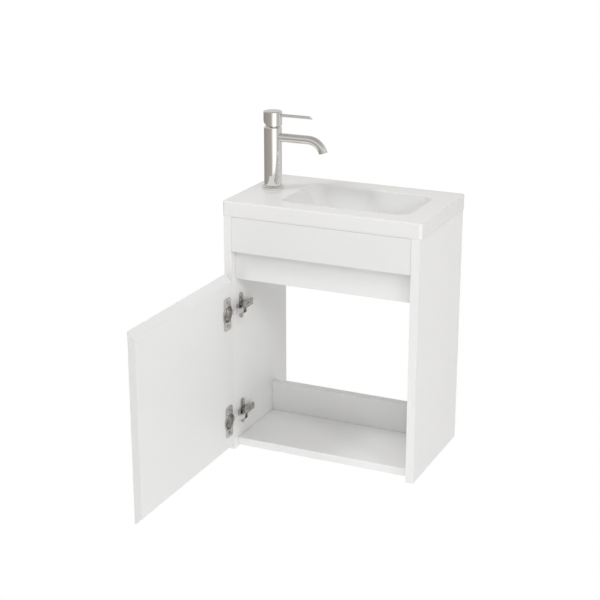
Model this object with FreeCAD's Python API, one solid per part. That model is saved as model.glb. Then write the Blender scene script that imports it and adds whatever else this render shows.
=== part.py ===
import FreeCAD, Part
import math
import os

from FreeCAD import Vector

# Wall-hung cloakroom vanity unit: open-backed cabinet, inset door on two concealed hinges,
# slab basin with an offset bowl, single-lever mixer tap and push-open waste.
# Millimetres. +Z up, +X to the right, +Y into the wall. Heights below are measured from the
# underside of the side panels; every part is lowered by WALL_FIX_HEIGHT when it is written,
# which puts the origin on the wall, midway between the two wall screws.

# ---- cabinet boards ----
BOARD = 16.0
CABINET_WIDTH = 400.0
CABINET_DEPTH = 248.0
CABINET_HEIGHT = 486.0
EDGE_ROUND = 0.5
INSIDE_X = CABINET_WIDTH / 2 - BOARD
FRONT_Y = -CABINET_DEPTH
FASCIA_HEIGHT = 69.0
RECESS_RAIL_BOTTOM = 358.0
RECESS_RAIL_TOP = 480.0
SHELF_BOTTOM = 4.0
SHELF_SETBACK = 17.0
BACK_RAIL_FRONT_Y = -72.0
BACK_RAIL_TOP = 84.0
HANGING_RAIL_BOTTOM = 400.0
HANGING_RAIL_TOP = 480.0

# ---- wall fixing ----
WALL_FIX_HEIGHT = 440.0
WALL_FIX_SPACING = 260.0
WALL_HOLE_RADIUS = 3.5

# ---- dowels, cam fittings and wood screws ----
DOWEL_RADIUS = 4.0
DOWEL_EDGE_DISTANCE = 16.0
SHELF_DOWEL_YS = (-200.0, -90.0)
SHELF_CAM_Y = -145.0
DOWEL_IN_SIDE = 11.0
DOWEL_IN_RAIL = 21.0
HOLE_PLAY = 0.05
CAM_RADIUS = 7.5
CAM_DEPTH = 12.0
CAM_SETBACK = 34.0
CAM_BOLT_RADIUS = 3.0
CAM_BOLT_IN_SIDE = 11.0
CAM_BOLT_GAP = 1.0
SCREW_RADIUS = 1.75
SCREW_HEAD_RADIUS = 3.6
SCREW_CROWN_RADIUS = 2.5
SCREW_SOCKET_RADIUS = 1.3
SCREW_SOCKET_DEPTH = 1.3
SCREW_HEAD_HEIGHT = 2.2
FASCIA_SCREW_LENGTH = 26.0
FASCIA_SCREW_X = (-130.0, 0.0, 130.0)

# ---- door ----
DOOR_HINGE_GAP = 2.0
DOOR_LATCH_GAP = 2.5
DOOR_HEIGHT = 372.0
DOOR_BEVEL = 15.0
PIVOT_X = -192.0
PIVOT_Y = -243.0

# ---- concealed hinges ----
HINGE_HEIGHTS = (72.0, 297.0)
CUP_EDGE_DISTANCE = 21.5
CUP_RADIUS = 17.4
CUP_WALL = 1.0
CUP_DEPTH = 11.5
CUP_RIM_RADIUS = 19.0
CUP_RIM_THICKNESS = 1.2
WING_THICKNESS = 1.6
WING_HALF_HEIGHT = 32.5
WING_START = 14.0
WING_NEAR = 8.0
WING_FAR = 36.0
WING_CORNER = 6.0
CUP_SCREW_OFFSET = 24.0
CUP_SCREW_LENGTH = 12.0
PLATE_THICKNESS = 2.5
PLATE_Y = -211.0
PLATE_HALF_LENGTH = 19.0
PLATE_WING_HALF_HEIGHT = 26.0
PLATE_WING_WIDTH = 13.0
PLATE_SPINE_HALF_WIDTH = 5.0
PLATE_SPINE_HEIGHT = 3.5
PLATE_SCREW_OFFSET = 16.0
PLATE_SCREW_LENGTH = 13.0
ARM_HALF_WIDTH = 6.5
ARM_THICKNESS = 4.5
ARM_BACK_Y = -177.0
ARM_BEND_Y = -222.0
ARM_BEND_RUN = 10.0
ARM_SCREW_YS = (-196.0, -207.0)
ARM_SCREW_LENGTH = 4.0
FORK_PLAY = 0.3
FORK_REACH = 12.0
FORK_DEPTH = 6.5
LINK_PIVOT_X = -167.0
LINK_PIVOT_Y = -237.0
LINK_LENGTH = 22.0
LINK_HALF_THICKNESS = 2.4
LINK_HALF_HEIGHT = 4.6
LINK_REST_ANGLE = -112.0
ARM_TIP_RADIUS = 3.8
PIN_RADIUS = 1.5

# ---- basin ----
BASIN_WIDTH = 406.0
BASIN_DEPTH = 247.0
BASIN_THICKNESS = 30.0
BASIN_WALL = 8.0
BASIN_DECK = 12.0
BASIN_CORNER = 6.0
BASIN_EDGE = 3.0
BASIN_BEARING = 20.0
BOWL_LEFT = -104.0
BOWL_RIGHT = 158.0
BOWL_FRONT = -203.0
BOWL_BACK = -48.0
BOWL_CORNER = 26.0
BOWL_DEPTH = 64.0
BOWL_FLOOR_LEFT = -66.0
BOWL_FLOOR_RIGHT = 142.0
BOWL_FLOOR_FRONT = -188.0
BOWL_FLOOR_BACK = -63.0
BOWL_FLOOR_CORNER = 22.0
BOWL_FLOOR_ROUND = 16.0
BOWL_RIM_ROUND = 3.0

# ---- waste ----
WASTE_X = 38.0
WASTE_Y = -125.0
WASTE_HOLE_RADIUS = 22.5
WASTE_FLANGE_RADIUS = 31.5
WASTE_FLANGE_THICKNESS = 2.5
WASTE_FLANGE_EDGE = 1.0
WASTE_THREAD_RADIUS = 20.95
WASTE_THREAD_LENGTH = 28.0
WASTE_BORE_RADIUS = 18.0
WASTE_TAIL_RADIUS = 16.0
WASTE_TAIL_BORE = 14.6
WASTE_TAIL_LENGTH = 60.0
WASTE_SHOULDER = 2.0
WASTE_SEAT_DEPTH = 3.0
WASTE_SEAT_PLAY = 0.5
SEAL_THICKNESS = 0.5
CONE_WASHER_HEIGHT = 5.0
WASTE_NUT_RADIUS = 30.0
WASTE_NUT_CORNERS = 32.0
WASTE_NUT_HEIGHT = 9.0
PLUG_RADIUS = 26.0
PLUG_HEIGHT = 4.0
PLUG_STEM_RADIUS = 3.5
PLUG_STEM_LENGTH = 30.0
PLUG_REST_GAP = 0.5
PLUG_NECK_RADIUS = 15.0
PLUG_NECK_HEIGHT = 4.0
# dome of the plug, from its edge to its middle: fraction of the radius and of the height
PLUG_DOME = ((1.0, 0.0), (1.0, 0.38), (0.92, 0.70), (0.5, 0.93), (0.0, 1.0))
HUB_RADIUS = 7.0
HUB_DROP = 10.0
HUB_HEIGHT = 14.0
SPOKE_THICKNESS = 2.5
SPOKES = 3
STEM_PLAY = 0.08

# ---- tap ----
TAP_X = -158.0
TAP_Y = -114.0
TAP_HOLE_RADIUS = 17.5
TAP_BODY_RADIUS = 17.5
TAP_BODY_TOP = 124.0
TAP_BODY_BEVEL = 2.5
TAP_RING_RADIUS = 22.0
TAP_RING_HEIGHT = 7.0
# outer outline of the base ring from the deck up: inset from its radius, and height
TAP_RING_OUTLINE = ((0.0, 0.0), (0.0, 2.6), (1.0, 3.2), (1.0, 3.8), (0.4, 4.3), (1.0, 5.6), (3.1, 7.0))
SPOUT_AXIS_HEIGHT = 102.8
SPOUT_RADIUS = 8.5
SPOUT_WALL = 1.4
SPOUT_START = 14.0
SPOUT_STRAIGHT_END = 76.7
SPOUT_BEND_RADIUS = 32.4
SPOUT_BEND_ANGLE = 74.0
AERATOR_HEIGHT = 3.0
AERATOR_RECESS = 1.5
AERATOR_PLAY = 0.1
AERATOR_HOLES = 6
AERATOR_HOLE_RADIUS = 1.0
AERATOR_HOLE_CIRCLE = 4.2
CARTRIDGE_RADIUS = 13.0
CARTRIDGE_BOTTOM = 93.0
CARTRIDGE_SHOULDER = 114.0
CARTRIDGE_NUT_HEIGHT = 5.0
CARTRIDGE_NECK_RADIUS = 9.5
CARTRIDGE_TOP = 124.6
SPINDLE_RADIUS = 3.7
SPINDLE_BOTTOM = 106.0
SPINDLE_NECK = 125.6
SPINDLE_TOP = 137.0
SPINDLE_HALF_WIDTH = 3.5
CAP_RADIUS = 18.2
CAP_BOTTOM = 126.0
CAP_TOP = 154.0
CAP_ROUND = 1.4
CAP_CAVITY_RADIUS = 14.6
CAP_CAVITY_TOP = 141.0
CAP_PIVOT_HEIGHT = 130.0
CAP_CUT_START = 4.0
CAP_CUT_HEIGHT = 11.0
CHEEK_INNER = 3.9
CHEEK_OUTER = 7.4
CHEEK_HALF_WIDTH = 3.6
CAP_PIN_RADIUS = 1.5
CAP_EDGE_SHARE = 0.4
CHEEK_RISE = 0.5
LEVER_HEIGHT = 146.5
LEVER_RADIUS = 3.0
LEVER_START = 9.0
LEVER_END = 85.0
LEVER_TIP_SLOPE = 8.0
GRUB_X = 13.0
GRUB_RADIUS = 2.0
GRUB_BITE = 0.6
INLET_RADIUS = 4.5
INLET_LENGTH = 12.0
INLET_OFFSET_X = 7.0
INLET_OFFSET_Y = -5.0
STUD_RADIUS = 3.0
STUD_OFFSET_Y = 9.0
STUD_LENGTH = 62.0
STUD_IN_BODY = 10.0
CLAMP_RADIUS = 22.5
CLAMP_THICKNESS = 2.5
CLAMP_INNER_RADIUS = 7.5
CLAMP_BRIDGE_HALF = 8.0
CLAMP_BRIDGE_LENGTH = 19.0
CLAMP_MOUTH_HALF = 13.0
CLAMP_STUD_PLAY = 0.2
RUBBER_THICKNESS = 2.0
CLAMP_NUT_RADIUS = 6.5
CLAMP_NUT_HEIGHT = 10.0

DECK_Z = CABINET_HEIGHT + BASIN_THICKNESS
BOWL_FLOOR_Z = DECK_Z - BOWL_DEPTH
X_AXIS = Vector(1, 0, 0)
Y_AXIS = Vector(0, 1, 0)
Z_AXIS = Vector(0, 0, 1)


# ---- helpers ----
def save(name, shape):
    """Write one node, lowered so that the wall fixing height becomes zero."""
    shape = shape.copy()
    shape.translate(Vector(0, 0, -WALL_FIX_HEIGHT))
    shape.exportStep(os.path.join("parts", name + ".step"))


def group(shapes):
    return Part.makeCompound(shapes)


def block(x, y, z):
    """Box from three (low, high) pairs."""
    return Part.makeBox(x[1] - x[0], y[1] - y[0], z[1] - z[0], Vector(x[0], y[0], z[0]))


def board(x, y, z):
    """Board with softly rounded edges."""
    shape = block(x, y, z)
    return shape.makeFillet(EDGE_ROUND, shape.Edges)


def rod(radius, start, direction, length):
    return Part.makeCylinder(radius, length, Vector(*start), direction)


def tube(outer, inner, start, direction, length):
    return rod(outer, start, direction, length).cut(rod(inner, start, direction, length))


def rounded_rectangle(x, y, radius, z):
    """Closed wire of four lines and four quarter arcs."""
    centres = (
        (x[1] - radius, y[0] + radius, -45),
        (x[1] - radius, y[1] - radius, 45),
        (x[0] + radius, y[1] - radius, 135),
        (x[0] + radius, y[0] + radius, 225),
    )
    arcs = []
    for cx, cy, middle in centres:
        points = []
        for angle in (middle - 45, middle, middle + 45):
            a = math.radians(angle)
            points.append(Vector(cx + radius * math.cos(a), cy + radius * math.sin(a), z))
        arcs.append(points)
    edges = []
    for index, points in enumerate(arcs):
        edges.append(Part.Arc(*points).toShape())
        following = arcs[(index + 1) % len(arcs)]
        edges.append(Part.makeLine(points[2], following[0]))
    return Part.Wire(edges)


def prism(points, z):
    """Upright prism on a polygon given in X and Y."""
    loop = [Vector(px, py, z[0]) for px, py in points]
    face = Part.Face(Part.makePolygon(loop + loop[:1]))
    return face.extrude(Vector(0, 0, z[1] - z[0]))


def turned(profile, centre):
    """Solid of revolution about an upright axis; profile is (radius, height) pairs."""
    loop = [Vector(centre[0] + r, centre[1], z) for r, z in profile]
    face = Part.Face(Part.makePolygon(loop + loop[:1]))
    return face.revolve(Vector(centre[0], centre[1], 0), Z_AXIS, 360)


def hexagon(across_corners, centre, z):
    points = []
    for corner in range(6):
        a = math.radians(60 * corner)
        px = centre[0] + across_corners * math.cos(a)
        py = centre[1] + across_corners * math.sin(a)
        points.append((px, py))
    return prism(points, z)


def wood_screw(start, direction, length):
    """Round-head screw: head proud of the surface at start, plain shank into the board."""
    top = start - direction * SCREW_HEAD_HEIGHT
    head = Part.makeCone(SCREW_CROWN_RADIUS, SCREW_HEAD_RADIUS, SCREW_HEAD_HEIGHT, top, direction)
    socket = Part.makeCylinder(SCREW_SOCKET_RADIUS, SCREW_SOCKET_DEPTH, top, direction)
    shank = Part.makeCylinder(SCREW_RADIUS, length, start, direction)
    return head.fuse(shank).cut(socket)


def screw_hole(start, direction, length):
    return Part.makeCylinder(SCREW_RADIUS + HOLE_PLAY, length + HOLE_PLAY, start, direction)


# ---- door coordinates: u runs from the pivot across the door, v from the pivot to its inside ----
def door_point(u, v, z=0.0):
    """The door stands square to the cabinet front, open, so u points at -Y and v at +X."""
    return Vector(PIVOT_X + v, PIVOT_Y - u, z)


DOOR_U0 = -INSIDE_X + DOOR_HINGE_GAP - PIVOT_X
DOOR_U1 = INSIDE_X - DOOR_LATCH_GAP - PIVOT_X
DOOR_OUTER_V = FRONT_Y - PIVOT_Y
DOOR_INNER_V = DOOR_OUTER_V + BOARD
CUP_U = DOOR_U0 + CUP_EDGE_DISTANCE


# ---- cabinet joints: dowels and cam fittings at both ends of the cross boards ----
# Each entry is the (y, z) centre of one dowel; it is used at the left and at the right end.
DOWEL_PLACES = (
    (SHELF_DOWEL_YS[0], SHELF_BOTTOM + BOARD / 2),
    (SHELF_DOWEL_YS[1], SHELF_BOTTOM + BOARD / 2),
    (BACK_RAIL_FRONT_Y + BOARD / 2, SHELF_BOTTOM + BOARD + DOWEL_EDGE_DISTANCE),
    (BACK_RAIL_FRONT_Y + BOARD / 2, BACK_RAIL_TOP - DOWEL_EDGE_DISTANCE),
    (-BOARD / 2, HANGING_RAIL_BOTTOM + DOWEL_EDGE_DISTANCE),
    (-BOARD / 2, HANGING_RAIL_TOP - DOWEL_EDGE_DISTANCE),
    (FRONT_Y + BOARD / 2, CABINET_HEIGHT - FASCIA_HEIGHT + DOWEL_EDGE_DISTANCE),
    (FRONT_Y + BOARD / 2, CABINET_HEIGHT - DOWEL_EDGE_DISTANCE),
    (FRONT_Y + BOARD * 1.5, RECESS_RAIL_BOTTOM + DOWEL_EDGE_DISTANCE),
    (FRONT_Y + BOARD * 1.5, RECESS_RAIL_TOP - DOWEL_EDGE_DISTANCE),
)
CAM_PLACES = (
    (SHELF_CAM_Y, SHELF_BOTTOM + BOARD / 2),
    (-BOARD / 2, (HANGING_RAIL_BOTTOM + HANGING_RAIL_TOP) / 2),
)


def dowels(play=0.0):
    shapes = []
    for y, z in DOWEL_PLACES:
        for side in (-1, 1):
            low = side * INSIDE_X + (side * DOWEL_IN_SIDE if side < 0 else -DOWEL_IN_RAIL)
            length = DOWEL_IN_SIDE + DOWEL_IN_RAIL
            shapes.append(rod(DOWEL_RADIUS + play, (low - play, y, z), X_AXIS, length + 2 * play))
    return shapes


def cam_bolts(play=0.0):
    shapes = []
    for y, z in CAM_PLACES:
        for side in (-1, 1):
            reach = CAM_SETBACK - CAM_RADIUS - CAM_BOLT_GAP
            low = -INSIDE_X - CAM_BOLT_IN_SIDE if side < 0 else INSIDE_X - reach
            length = CAM_BOLT_IN_SIDE + reach
            shapes.append(rod(CAM_BOLT_RADIUS + play, (low - play, y, z), X_AXIS, length + 2 * play))
    return shapes


def cam_drums(play=0.0):
    """Drums set into the underside of the shelf and into the back of the hanging rail."""
    shapes = []
    (shelf_y, shelf_z), (rail_y, rail_z) = CAM_PLACES
    for side in (-1, 1):
        x = side * (INSIDE_X - CAM_SETBACK)
        radius = CAM_RADIUS + play
        length = CAM_DEPTH + play
        shapes.append(rod(radius, (x, shelf_y, shelf_z - BOARD / 2), Z_AXIS, length))
        shapes.append(rod(radius, (x, rail_y + BOARD / 2, rail_z), -Y_AXIS, length))
    return shapes


def cam_lock_drums():
    """Drums cut through where the bolt's end enters."""
    return [drum.cut(Part.makeCompound(cam_bolts(HOLE_PLAY))) for drum in cam_drums()]


def drilled(shape, cutters):
    return shape.cut(Part.makeCompound(cutters))


def fittings():
    return dowels(HOLE_PLAY) + cam_bolts(HOLE_PLAY) + cam_drums(HOLE_PLAY)


# ---- cabinet boards ----
def side_panel(side):
    inner = side * INSIDE_X
    outer = side * CABINET_WIDTH / 2
    shape = board((min(inner, outer), max(inner, outer)), (FRONT_Y, 0), (0, CABINET_HEIGHT))
    cutters = fittings()
    if side < 0:
        cutters = cutters + plate_screw_holes()
    return drilled(shape, cutters)


def bottom_shelf():
    front = FRONT_Y + SHELF_SETBACK
    back = BACK_RAIL_FRONT_Y + BOARD
    shape = board((-INSIDE_X, INSIDE_X), (front, back), (SHELF_BOTTOM, SHELF_BOTTOM + BOARD))
    return drilled(shape, fittings())


def lower_back_rail():
    y = (BACK_RAIL_FRONT_Y, BACK_RAIL_FRONT_Y + BOARD)
    shape = board((-INSIDE_X, INSIDE_X), y, (SHELF_BOTTOM + BOARD, BACK_RAIL_TOP))
    return drilled(shape, fittings())


def hanging_rail():
    shape = board((-INSIDE_X, INSIDE_X), (-BOARD, 0), (HANGING_RAIL_BOTTOM, HANGING_RAIL_TOP))
    cutters = fittings()
    for side in (-1, 1):
        x = side * WALL_FIX_SPACING / 2
        cutters.append(rod(WALL_HOLE_RADIUS, (x, -BOARD - 1, WALL_FIX_HEIGHT), Y_AXIS, BOARD + 2))
    return drilled(shape, cutters)


def front_fascia():
    bottom = CABINET_HEIGHT - FASCIA_HEIGHT
    shape = board((-INSIDE_X, INSIDE_X), (FRONT_Y, FRONT_Y + BOARD), (bottom, CABINET_HEIGHT))
    return drilled(shape, fittings() + fascia_screw_holes())


def recess_rail():
    y = (FRONT_Y + BOARD, FRONT_Y + 2 * BOARD)
    shape = board((-INSIDE_X, INSIDE_X), y, (RECESS_RAIL_BOTTOM, RECESS_RAIL_TOP))
    return drilled(shape, fittings() + fascia_screw_holes())


def fascia_screw_starts():
    z = CABINET_HEIGHT - FASCIA_HEIGHT / 2
    return [Vector(x, FRONT_Y + 2 * BOARD, z) for x in FASCIA_SCREW_X]


def fascia_screw_holes():
    return [screw_hole(start, -Y_AXIS, FASCIA_SCREW_LENGTH) for start in fascia_screw_starts()]


def fascia_screws():
    return [wood_screw(start, -Y_AXIS, FASCIA_SCREW_LENGTH) for start in fascia_screw_starts()]


# ---- door ----
def door_panel():
    profile = (
        (DOOR_OUTER_V, 0.0),
        (DOOR_OUTER_V, DOOR_HEIGHT),
        (DOOR_INNER_V, DOOR_HEIGHT - DOOR_BEVEL),
        (DOOR_INNER_V, DOOR_BEVEL),
    )
    loop = [door_point(DOOR_U0, v, z) for v, z in profile]
    shape = Part.Face(Part.makePolygon(loop + loop[:1])).extrude(Vector(0, DOOR_U0 - DOOR_U1, 0))
    shape = shape.makeFillet(EDGE_ROUND, shape.Edges)
    cutters = []
    for z in HINGE_HEIGHTS:
        mouth = door_point(CUP_U, DOOR_INNER_V + 1, z)
        depth = CUP_DEPTH + 1 + HOLE_PLAY
        cutters.append(Part.makeCylinder(CUP_RADIUS + HOLE_PLAY, depth, mouth, -X_AXIS))
    return drilled(shape, cutters + cup_screw_holes())


# ---- hinge parts on the door ----
def hinge_cup(z):
    """Drilled-in cup with a flat rim and one screw wing above and one below."""
    mouth = door_point(CUP_U, DOOR_INNER_V, z)
    inner = CUP_RADIUS - CUP_WALL
    cup = Part.makeCylinder(CUP_RADIUS, CUP_DEPTH, mouth, -X_AXIS)
    rim = Part.makeCylinder(CUP_RIM_RADIUS, CUP_RIM_THICKNESS, mouth, X_AXIS)
    shape = cup.fuse(rim)
    u_near = DOOR_U0 + WING_NEAR
    u_far = DOOR_U0 + WING_FAR
    for side in (-1, 1):
        low = min(side * WING_START, side * WING_HALF_HEIGHT)
        high = max(side * WING_START, side * WING_HALF_HEIGHT)
        start = door_point(u_far, DOOR_INNER_V, z + low)
        wing = Part.makeBox(WING_THICKNESS, u_far - u_near, high - low, start)
        corners = []
        for edge in wing.Edges:
            ends = abs(edge.CenterOfMass.z - (z + side * WING_HALF_HEIGHT)) < 0.01
            if ends and abs(edge.Length - WING_THICKNESS) < 0.01:
                corners.append(edge)
        shape = shape.fuse(wing.makeFillet(WING_CORNER, corners))
    cavity_top = mouth + X_AXIS * CUP_RADIUS
    cavity = Part.makeCylinder(inner, CUP_DEPTH - CUP_WALL + CUP_RADIUS, cavity_top, -X_AXIS)
    shape = shape.cut(cavity)
    return drilled(shape, cup_screw_holes())


def cup_screw_starts():
    u = DOOR_U0 + (WING_NEAR + WING_FAR) / 2
    starts = []
    for z in HINGE_HEIGHTS:
        for side in (-1, 1):
            starts.append(door_point(u, DOOR_INNER_V + WING_THICKNESS, z + side * CUP_SCREW_OFFSET))
    return starts


def cup_screw_holes():
    return [screw_hole(start, -X_AXIS, CUP_SCREW_LENGTH) for start in cup_screw_starts()]


def cup_screws():
    return [wood_screw(start, -X_AXIS, CUP_SCREW_LENGTH) for start in cup_screw_starts()]


# ---- hinge parts on the left side panel ----
def mounting_plate(z):
    """Cross-shaped plate: a raised spine along the panel and two vertical screw wings."""
    x0 = -INSIDE_X
    spine = block((x0, x0 + PLATE_THICKNESS + PLATE_SPINE_HEIGHT),
                  (PLATE_Y - PLATE_HALF_LENGTH, PLATE_Y + PLATE_HALF_LENGTH),
                  (z - PLATE_SPINE_HALF_WIDTH, z + PLATE_SPINE_HALF_WIDTH))
    wings = block((x0, x0 + PLATE_THICKNESS),
                  (PLATE_Y - PLATE_WING_WIDTH / 2, PLATE_Y + PLATE_WING_WIDTH / 2),
                  (z - PLATE_WING_HALF_HEIGHT, z + PLATE_WING_HALF_HEIGHT))
    ends = [edge for edge in wings.Edges if abs(edge.Length - PLATE_THICKNESS) < 0.01]
    wings = wings.makeFillet(PLATE_WING_WIDTH / 2 - 0.5, ends)
    return drilled(wings.fuse(spine).removeSplitter(), plate_screw_holes() + arm_screw_holes())


def plate_screw_starts():
    starts = []
    for z in HINGE_HEIGHTS:
        for side in (-1, 1):
            starts.append(Vector(-INSIDE_X + PLATE_THICKNESS, PLATE_Y, z + side * PLATE_SCREW_OFFSET))
    return starts


def plate_screw_holes():
    return [screw_hole(start, -X_AXIS, PLATE_SCREW_LENGTH) for start in plate_screw_starts()]


def plate_screws():
    return [wood_screw(start, -X_AXIS, PLATE_SCREW_LENGTH) for start in plate_screw_starts()]


ARM_BASE_X = -INSIDE_X + PLATE_THICKNESS + PLATE_SPINE_HEIGHT
ARM_TOP_X = ARM_BASE_X + ARM_THICKNESS


def hinge_arm(z):
    """Cranked arm: flat over the plate, stepping away from the panel to the link fork."""
    low = z - ARM_HALF_WIDTH
    high = z + ARM_HALF_WIDTH
    outline = [
        (ARM_BASE_X, ARM_BACK_Y),
        (ARM_BASE_X, ARM_BEND_Y),
        (LINK_PIVOT_X - ARM_TIP_RADIUS, LINK_PIVOT_Y + 1.0),
        (LINK_PIVOT_X + ARM_TIP_RADIUS, LINK_PIVOT_Y),
        (LINK_PIVOT_X + ARM_TIP_RADIUS, ARM_BEND_Y - ARM_TIP_RADIUS),
        (ARM_TOP_X, ARM_BEND_Y + ARM_BEND_RUN),
        (ARM_TOP_X, ARM_BACK_Y),
    ]
    shape = prism(outline, (low, high))
    tip = rod(ARM_TIP_RADIUS, (LINK_PIVOT_X, LINK_PIVOT_Y, low), Z_AXIS, high - low)
    shape = shape.fuse(tip).removeSplitter()
    slot_half = LINK_HALF_HEIGHT + FORK_PLAY
    slot = block((LINK_PIVOT_X - FORK_REACH, LINK_PIVOT_X + FORK_REACH),
                 (LINK_PIVOT_Y - FORK_REACH, LINK_PIVOT_Y + FORK_DEPTH),
                 (z - slot_half, z + slot_half))
    pin_hole = rod(PIN_RADIUS, (LINK_PIVOT_X, LINK_PIVOT_Y, low - 1), Z_AXIS, high - low + 2)
    shape = shape.cut(slot).cut(pin_hole)
    return drilled(shape, arm_screw_holes())


def arm_screw_starts():
    return [Vector(ARM_TOP_X, y, z) for z in HINGE_HEIGHTS for y in ARM_SCREW_YS]


def arm_screw_holes():
    reach = ARM_TOP_X - ARM_BASE_X + ARM_SCREW_LENGTH
    return [screw_hole(start, -X_AXIS, reach) for start in arm_screw_starts()]


def arm_screws():
    reach = ARM_TOP_X - ARM_BASE_X + ARM_SCREW_LENGTH
    return [wood_screw(start, -X_AXIS, reach) for start in arm_screw_starts()]


def hinge_pin(z):
    low = z - ARM_HALF_WIDTH
    return rod(PIN_RADIUS, (LINK_PIVOT_X, LINK_PIVOT_Y, low), Z_AXIS, 2 * ARM_HALF_WIDTH)


def hinge_link(z):
    """Flat link with round ends, turning on the pin in the arm's fork."""
    low = z - LINK_HALF_HEIGHT
    height = 2 * LINK_HALF_HEIGHT
    angle = math.radians(LINK_REST_ANGLE)
    along = Vector(math.cos(angle), math.sin(angle), 0)
    across = Vector(-along.y, along.x, 0)
    start = Vector(LINK_PIVOT_X, LINK_PIVOT_Y, low)
    end = start + along * LINK_LENGTH
    half = LINK_HALF_THICKNESS
    loop = [start + across * half, start - across * half, end - across * half, end + across * half]
    bar = Part.Face(Part.makePolygon(loop + loop[:1])).extrude(Vector(0, 0, height))
    shape = bar.fuse(Part.makeCylinder(half, height, start, Z_AXIS))
    shape = shape.fuse(Part.makeCylinder(half, height, end, Z_AXIS)).removeSplitter()
    bore = rod(PIN_RADIUS + HOLE_PLAY, (LINK_PIVOT_X, LINK_PIVOT_Y, low - 1), Z_AXIS, height + 2)
    return shape.cut(bore)


# ---- basin ----
def bowl_solid(grow, top_z, floor_z, round_radius):
    """Tapering bowl volume, grown outwards for the outer skin."""
    rim = rounded_rectangle((BOWL_LEFT - grow, BOWL_RIGHT + grow), (BOWL_FRONT - grow, BOWL_BACK + grow),
                            BOWL_CORNER + grow, top_z)
    floor = rounded_rectangle((BOWL_FLOOR_LEFT - grow, BOWL_FLOOR_RIGHT + grow),
                              (BOWL_FLOOR_FRONT - grow, BOWL_FLOOR_BACK + grow),
                              BOWL_FLOOR_CORNER + grow, floor_z)
    shape = Part.makeLoft([rim, floor], True, True)
    low_edges = [edge for edge in shape.Edges if edge.BoundBox.ZMax < floor_z + 0.01]
    return shape.makeFillet(round_radius, low_edges)


def basin():
    half = BASIN_WIDTH / 2
    slab = block((-half, half), (-BASIN_DEPTH, 0), (CABINET_HEIGHT, DECK_Z))
    upright = [edge for edge in slab.Edges if abs(edge.Length - BASIN_THICKNESS) < 0.01]
    slab = slab.makeFillet(BASIN_CORNER, upright)
    top = [edge for edge in slab.Edges if edge.BoundBox.ZMin > DECK_Z - 0.01]
    slab = slab.makeFillet(BASIN_EDGE, top)
    pocket = block((-half + BASIN_BEARING, half - BASIN_BEARING),
                   (-BASIN_DEPTH + BASIN_BEARING, -BASIN_BEARING),
                   (CABINET_HEIGHT - 1, DECK_Z - BASIN_DECK))
    skin = bowl_solid(BASIN_WALL, DECK_Z - BASIN_EDGE, BOWL_FLOOR_Z - BASIN_WALL,
                      BOWL_FLOOR_ROUND + BASIN_WALL)
    shape = slab.cut(pocket).fuse(skin).removeSplitter()
    shape = shape.cut(bowl_solid(0, DECK_Z, BOWL_FLOOR_Z, BOWL_FLOOR_ROUND))
    rim = []
    for edge in shape.Edges:
        box = edge.BoundBox
        inside = box.XMin > BOWL_LEFT - 1 and box.XMax < BOWL_RIGHT + 1
        inside = inside and box.YMin > BOWL_FRONT - 1 and box.YMax < BOWL_BACK + 1
        if inside and box.ZMin > DECK_Z - 0.01:
            rim.append(edge)
    shape = shape.makeFillet(BOWL_RIM_ROUND, rim)
    seat = (WASTE_X, WASTE_Y, BOWL_FLOOR_Z - WASTE_SEAT_DEPTH)
    cutters = [
        rod(TAP_HOLE_RADIUS, (TAP_X, TAP_Y, CABINET_HEIGHT), Z_AXIS, BASIN_THICKNESS + 1),
        rod(WASTE_HOLE_RADIUS, (WASTE_X, WASTE_Y, BOWL_FLOOR_Z - 2 * BASIN_WALL), Z_AXIS, 3 * BASIN_WALL),
        rod(WASTE_FLANGE_RADIUS + WASTE_SEAT_PLAY, seat, Z_AXIS, WASTE_SEAT_DEPTH + 1),
    ]
    return drilled(shape, cutters)


# ---- waste ----
WASTE = (WASTE_X, WASTE_Y)
FLANGE_TOP_Z = BOWL_FLOOR_Z - WASTE_SEAT_DEPTH + SEAL_THICKNESS + WASTE_FLANGE_THICKNESS
FLOOR_UNDER_Z = BOWL_FLOOR_Z - BASIN_WALL


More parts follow.
